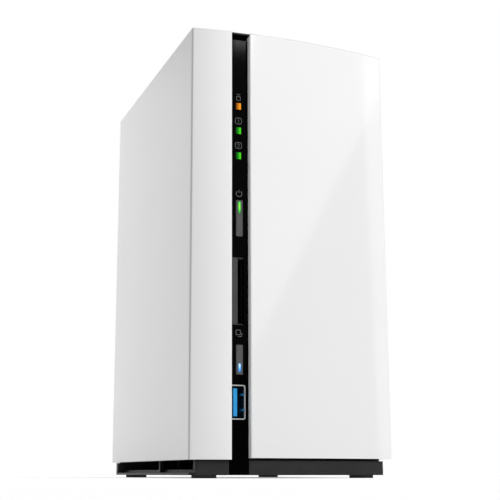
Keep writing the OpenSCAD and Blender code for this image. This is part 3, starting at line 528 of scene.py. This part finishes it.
def marks():
    """Network, disk 1, disk 2, power and copy symbols, each as thin raised strokes."""
    bm = bmesh.new()

    def draw(points, width, closed=False):
        ribbon(bm, points, width, closed, mark_face, mark_back)

    # network: a small box under two nodes
    z = NETWORK_Z
    draw(rounded_square(MARK_MID, z - 0.5, 1.7, 0.25), 0.22, True)
    draw([(MARK_MID, z + 0.35), (MARK_MID, z + 0.9)], 0.22)
    draw([(MARK_MID - 0.75, z + 1.35), (MARK_MID - 0.3, z + 1.35)], 0.4)
    draw([(MARK_MID + 0.3, z + 1.35), (MARK_MID + 0.75, z + 1.35)], 0.4)
    # disks: a figure in a rounded square
    for z, figure in zip(DISK_Z, (figure_one, figure_two)):
        draw(rounded_square(MARK_MID, z, 2.7, 0.75), 0.24, True)
        draw(figure(z), 0.2)
    # power: a broken ring with a stroke
    z = POWER_Z
    draw(arc(MARK_MID + 0.2, z - 0.1, 1.25, 125, 415, 22), 0.26)
    draw([(MARK_MID + 0.2, z + 0.3), (MARK_MID + 0.2, z + 1.5)], 0.26)
    # copy: one rounded square over the corner of another
    z = COPY_Z
    draw(rounded_square(MARK_MID - 0.2, z + 0.35, 1.9, 0.4), 0.24, True)
    draw(arc(MARK_MID + 0.95, z - 1.0, 0.35, -90, 0, 4)[::-1] + [(MARK_MID - 0.3, z - 1.35)], 0.24)
    draw([(MARK_MID + 1.3, z - 0.9), (MARK_MID + 1.3, z + 0.1)], 0.24)
    bmesh.ops.recalc_face_normals(bm, faces=bm.faces)
    placed("strip_marks", mesh_of(bm, "strip_marks"), "root", "button_plastic", mat=MARK_INK)


marks()


# ---------------------------------------------------------------- springs in the front USB port

USB_Z = 29.85
USB_WALL_U = 23.6           # inner face of the shell's right wall
SPRING_V = (3.4, 9.4)
SPRING_APART = 3.1          # from the port's middle to a spring's
SPRING_W = 1.3
SPRING_TAPER = 0.35         # how much narrower a spring is at its front end
SPRING_REACH = 0.9
SPRING_T = 0.15
SPRING_SUNK = 0.02          # its ends reach this far into the wall
SPRING_STEPS = 12


def spring_bend(t):
    """How far a spring stands off its wall, 0 to 1, with t from 0 at its front end to 1."""
    return math.sin(math.pi * min(1.0, t * 1.1)) ** 1.5


def usb_springs():
    """Two contact springs, each a thin arched leaf on the shell's right wall."""
    bm = bmesh.new()
    root_u = USB_WALL_U + SPRING_SUNK
    for side in (-1, 1):
        z = USB_Z + side * SPRING_APART
        rings = []
        for i in range(SPRING_STEPS + 1):
            t = i / SPRING_STEPS
            v = SPRING_V[0] + t * (SPRING_V[1] - SPRING_V[0])
            u = root_u - SPRING_REACH * spring_bend(t)
            half = SPRING_W / 2 * (1 - SPRING_TAPER * (1 - t))
            corners = [(u, z - half), (u, z + half), (u - SPRING_T, z + half), (u - SPRING_T, z - half)]
            rings.append([bm.verts.new((cu, v, cz)) for cu, cz in corners])
        tube(bm, rings)
    bmesh.ops.recalc_face_normals(bm, faces=bm.faces)
    mesh = mesh_of(bm, "front_usb_springs")
    placed("front_usb_springs", mesh, "root", SLOT_OF["front_usb_shell"], mat=STEEL)


usb_springs()


# ---------------------------------------------------------------- lights under the marks and in the keys

LENS_W = 0.0023
LENS_STRENGTH, GUIDE_STRENGTH = 1.0, 1.2
LENS_STOPS = (0.0, 0.45, 0.8)               # across a lens, from left to right
GUIDE_STOPS = (0.0, 0.3125, 0.625, 1.0)     # from a light guide's dark rim to its brightest place
UNLIT = 0.1                                 # how bright a lens is without its lamp


def side_lit(name, colours):
    """A lens over a lamp at its right: its light grows from left to right."""
    unlit = [[UNLIT * part for part in c] for c in colours[:2]]
    mat = surface(name, *unlit, rough=(0.3, 0.4), Specular_IOR_Level=0.1)
    left = LOW.x + MARK_MID * MM - LENS_W / 2
    across = ranged(mat, coordinate(mat, "X"), left, left + LENS_W)
    shine(mat, ramp(mat, across, list(zip(LENS_STOPS, colours))), LENS_STRENGTH)
    return mat


def teardrop(name, cad_node, colours, below_top, reach):
    """A key's light guide: brightest at a place below its top and darker with distance from it."""
    lo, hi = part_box(cad_node)
    centre = ((lo.x + hi.x) / 2, lo.y, hi.z - below_top)
    mat = surface(name, (0.02, 0.02, 0.022), (0.03, 0.03, 0.032), rough=(0.25, 0.35))
    link = links_of(mat).new
    coords = node(mat, "TexCoord")
    place = node(mat, "Mapping", vector_type="POINT")
    place.inputs["Location"].default_value = [-c / r for c, r in zip(centre, reach)]
    place.inputs["Scale"].default_value = [1 / r for r in reach]
    link(coords.outputs["Object"], place.inputs["Vector"])
    ball = node(mat, "TexGradient", gradient_type="SPHERICAL")
    link(place.outputs["Vector"], ball.inputs["Vector"])
    stops = list(zip(GUIDE_STOPS, [(0, 0, 0), *colours]))
    shine(mat, ramp(mat, ball.outputs["Fac"], stops), GUIDE_STRENGTH)
    return mat


AMBER_LENS = side_lit("amber_lens", [(0.06, 0.012, 0.0), (0.55, 0.16, 0.0), (0.95, 0.36, 0.01)])
GREEN_LENS = side_lit("green_lens", [(0.0, 0.02, 0.0), (0.0, 0.22, 0.003), (0.06, 0.72, 0.008)])
POWER_GLOW = teardrop("power_glow", "power_button_light",
                      [(0.0, 0.1, 0.0), (0.005, 0.75, 0.0), (0.45, 0.9, 0.0)],
                      below_top=0.0021, reach=(0.0009, 0.003, 0.0048))
COPY_GLOW = teardrop("copy_glow", "copy_button_light",
                     [(0.0, 0.12, 0.4), (0.05, 0.4, 0.9), (0.9, 0.97, 1.0)],
                     below_top=0.0007, reach=(0.001, 0.003, 0.0044))


# ---------------------------------------------------------------- CAD nodes that stay

REPLACED = {"left_cover", "right_cover", "front_panel", "front_strip"}
NO_EDGES = {"fan_lead"}
NODE_MATERIALS = {
    "card_reader_shell": PORT_STEEL, "front_usb_shell": PORT_STEEL, "card_slot_frame": SLOT_GREY,
    "network_light": AMBER_LENS, "disk_lights": GREEN_LENS, "power_button_light": POWER_GLOW,
    "copy_button_light": COPY_GLOW,
}
USUAL_EDGE = 0.00012
EDGE_RADII = {"power_button": 0.0003, "copy_button": 0.0003, "base_tray": 0.00025}
CAD_FLAT_ANGLE = 0.4        # in degrees, as FLAT_ANGLE but for the CAD nodes that stay


def round_edges(obj, width):
    """Rounds a CAD node's sharp edges a little."""
    weld = obj.modifiers.new("weld", "WELD")
    weld.merge_threshold = SAME_POINT * MM
    flat = obj.modifiers.new("planes", "DECIMATE")
    flat.decimate_type, flat.angle_limit = "DISSOLVE", math.radians(CAD_FLAT_ANGLE)
    bevel = obj.modifiers.new("edges", "BEVEL")
    bevel.limit_method, bevel.angle_limit = "ANGLE", math.radians(SMOOTH_ANGLE)
    bevel.width, bevel.segments = width, 2
    bevel.harden_normals = True


def finish_cad_nodes():
    for name, obj in nodes.items():
        if name in REPLACED:
            continue
        if name not in NO_EDGES:
            round_edges(obj, EDGE_RADII.get(name, USUAL_EDGE))
        obj.data.materials.clear()
        obj.data.materials.append(NODE_MATERIALS.get(name) or SLOT_MATERIALS[SLOT_OF[name]])


finish_cad_nodes()


# ---------------------------------------------------------------- camera, light, floor

LENS = 70.5
LENS_SHIFT = (0.032, 0.05)
CAMERA_AT = (-0.1664, -0.4259, 0.002)
CAMERA_YAW, CAMERA_PITCH = 20.92, 11.44     # degrees to the right of +Y and up
LIT_MIDDLE = Vector((0, 0, 0.1))            # every lamp faces this place
WORLD_LIGHT = 0.38
FLOOR_RADIUS = 30.0
GLOW_RADII = (0.35, 2.2)                    # near the case and far from it
FLOOR_GLOW = (0.36, 0.78)                   # the floor's own light at those radii


def make_camera():
    data = bpy.data.cameras.new("camera")
    data.lens, data.sensor_width = LENS, 36.0
    data.shift_x, data.shift_y = LENS_SHIFT
    data.clip_start, data.clip_end = 0.01, 20
    cam = bpy.data.objects.new("camera", data)
    scene.collection.objects.link(cam)
    cam.location = CAMERA_AT
    cam.rotation_euler = (math.pi / 2 + math.radians(CAMERA_PITCH), 0, -math.radians(CAMERA_YAW))
    scene.camera = cam


def softbox(name, azimuth, elevation, distance, size, radiance, roll=0.0):
    """A soft light that faces the case: azimuth from straight in front towards its right, in degrees."""
    data = bpy.data.lights.new(name, "AREA")
    data.shape, data.size, data.size_y = "RECTANGLE", size[0], size[1]
    data.energy = math.pi * radiance * size[0] * size[1]
    az, el = math.radians(azimuth), math.radians(elevation)
    away = Vector((math.sin(az) * math.cos(el), -math.cos(az) * math.cos(el), math.sin(el)))
    obj = bpy.data.objects.new(name, data)
    scene.collection.objects.link(obj)
    obj.location = LIT_MIDDLE + away * distance
    aim = away.to_track_quat("Z", "Y").to_matrix().to_4x4()
    obj.rotation_euler = (aim @ Matrix.Rotation(math.radians(roll), 4, "Z")).to_euler()


def make_world():
    """Soft even light all round, and plain white behind the case."""
    world = bpy.data.worlds.new("studio")
    scene.world = world
    world.use_nodes = True
    tree = world.node_tree
    light = tree.nodes["Background"]
    seen = tree.nodes.new("ShaderNodeBackground")
    for background, strength in ((light, WORLD_LIGHT), (seen, 1.0)):
        background.inputs["Color"].default_value = (1, 1, 1, 1)
        background.inputs["Strength"].default_value = strength
    path = tree.nodes.new("ShaderNodeLightPath")
    mix = tree.nodes.new("ShaderNodeMixShader")
    tree.links.new(path.outputs["Is Camera Ray"], mix.inputs["Fac"])
    tree.links.new(light.outputs[0], mix.inputs[1])
    tree.links.new(seen.outputs[0], mix.inputs[2])
    tree.links.new(mix.outputs[0], tree.nodes["World Output"].inputs["Surface"])


def make_floor():
    """A pale floor that gives off some light of its own, more so far from the case."""
    bm = bmesh.new()
    bmesh.ops.create_circle(bm, cap_ends=True, radius=FLOOR_RADIUS, segments=128)
    floor = new_object("floor", mesh_of(bm, "floor"))
    mat = surface("pale_floor", (0.86, 0.86, 0.86), (0.88, 0.88, 0.88), rough=(0.6, 0.7), patch=2,
                  grain=300, Emission_Color=(1, 1, 1, 1), Specular_IOR_Level=0.0)
    link = links_of(mat).new
    coords = node(mat, "TexCoord")
    length = node(mat, "VectorMath", operation="LENGTH")
    link(coords.outputs["Object"], length.inputs[0])
    glow = ranged(mat, length.outputs["Value"], *GLOW_RADII, *FLOOR_GLOW)
    link(glow, shader_of(mat).inputs["Emission Strength"])
    floor.data.materials.append(mat)


make_camera()
make_world()
make_floor()
softbox("overhead", 0, 88, 1.6, (1.2, 1.2), 1.2)
softbox("key", 22, 28, 2.0, (2.8, 1.1), 0.99, roll=30)
softbox("side_key", 60, 12, 1.8, (1.0, 1.2), 0.99)
softbox("strip_glint", 10.3, 27.75, 2.0, (0.11, 0.12), 44.0)
softbox("back_left", -165, 10, 0.45, (0.2, 0.4), 2.4)
scene.view_settings.view_transform = "Standard"
